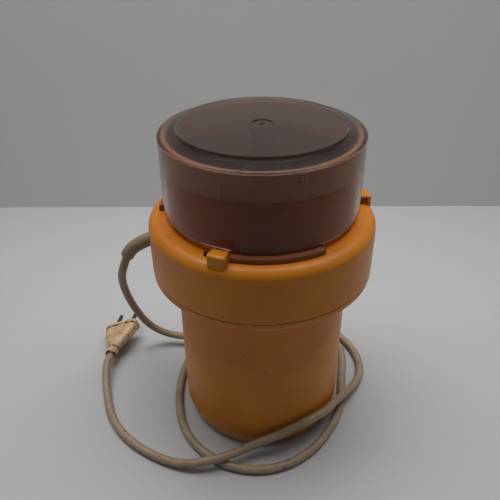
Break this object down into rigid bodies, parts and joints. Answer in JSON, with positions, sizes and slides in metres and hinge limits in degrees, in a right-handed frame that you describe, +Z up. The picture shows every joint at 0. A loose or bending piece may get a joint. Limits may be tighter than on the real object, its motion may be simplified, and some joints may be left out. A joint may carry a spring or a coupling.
{
  "type": "electric food chopper",
  "caption": "Orange kitchen food chopper with a drum-shaped smoky see-through lid over a sunken bowl with blades, a wide collar, a round motor body and a beige mains lead with plug.",
  "frame": {"origin": "on the motor axis, at the table that the feet stand on", "axes": "+Z up along the motor axis, +X to the right and +Y to the back as the appliance is looked at"},
  "size_m": [0.2482, 0.1872, 0.2439],
  "materials": {
    "orange_plastic": "moulded, semi-gloss",
    "smoky_plastic": "clear, smoke brown, polished",
    "stem_plastic": "moulded",
    "black_plastic": "moulded",
    "grey_plastic": "moulded",
    "beige_plastic": "moulded, satin",
    "cream_plastic": "moulded, satin",
    "cord_plastic": "extruded, satin",
    "black_rubber": "matt",
    "bright_steel": "brushed",
    "dull_steel": "laminated and zinc plated",
    "copper": "enamelled copper wire",
    "bronze": "sintered, oiled",
    "brass": "drawn and pressed",
    "carbon": "pressed carbon"
  },
  "bodies": {
    "housing": {"lower_housing": "orange_plastic", "upper_housing": "orange_plastic", "bowl": "orange_plastic", "base_plate": "black_plastic", "lower_bracket": "black_plastic", "safety_switch": "black_plastic", "rubber_foot_1": "black_rubber", "rubber_foot_2": "black_rubber", "rubber_foot_3": "black_rubber", "rubber_foot_4": "black_rubber", "shaft_seal": "black_rubber", "base_screw_1": "dull_steel", "base_screw_2": "dull_steel", "base_screw_3": "dull_steel", "base_screw_4": "dull_steel", "housing_screw_1": "dull_steel", "housing_screw_2": "dull_steel", "housing_screw_3": "dull_steel", "stator_core": "dull_steel", "lower_spacer_left": "dull_steel", "lower_spacer_right": "dull_steel", "upper_spacer_left": "dull_steel", "upper_spacer_right": "dull_steel", "motor_bolt_left": "dull_steel", "motor_bolt_right": "dull_steel", "bowl_liner": "bright_steel", "brush_spring_front": "bright_steel", "brush_spring_back": "bright_steel", "pin_spring": "bright_steel", "upper_bush": "bronze", "lower_bush": "bronze", "terminal_block": "grey_plastic", "field_coil_left": "copper", "field_coil_right": "copper", "brush_holder_front": "brass", "brush_holder_back": "brass", "plug_pin_left": "brass", "plug_pin_right": "brass", "carbon_brush_front": "carbon", "carbon_brush_back": "carbon", "cord_sleeve": "cord_plastic", "mains_cord": "cord_plastic", "plug_body": "beige_plastic"},
    "lid_carrier": {"lid_stem": "stem_plastic"},
    "lid_shell": {"lid": "smoky_plastic", "lid_ring": "cream_plastic"},
    "blade_rotor": {"motor_shaft": "bright_steel", "armature_core": "dull_steel", "armature_winding_upper": "copper", "armature_winding_lower": "copper", "commutator": "copper", "cooling_fan": "grey_plastic", "drive_dog": "dull_steel", "blade_hub": "black_plastic", "lower_blade": "bright_steel", "upper_blade": "bright_steel"},
    "safety_pin": {"switch_pin": "black_plastic"}
  },
  "joints": [
    {"name": "lid_lift", "type": "slide", "parent": "housing", "child": "lid_carrier", "axis": [0, 0, 1], "range_m": [0, 0.08]},
    {"name": "lid_turn", "type": "hinge", "parent": "lid_carrier", "child": "lid_shell", "pos_m": [0, 0, 0.2], "axis": [0, 0, -1], "range_deg": [0, 16]},
    {"name": "blade_spin", "type": "hinge", "parent": "housing", "child": "blade_rotor", "pos_m": [0, 0, 0.1], "axis": [0, 0, 1], "continuous": true},
    {"name": "pin_press", "type": "slide", "parent": "housing", "child": "safety_pin", "axis": [0, 0, -1], "range_m": [0, 0.003], "stiffness_N_per_m": 60, "deforming": ["pin_spring"]}
  ],
  "couplings": [
    {"joint": "pin_press", "follows": "lid_turn", "m_per_rad": 0.0107}
  ]
}
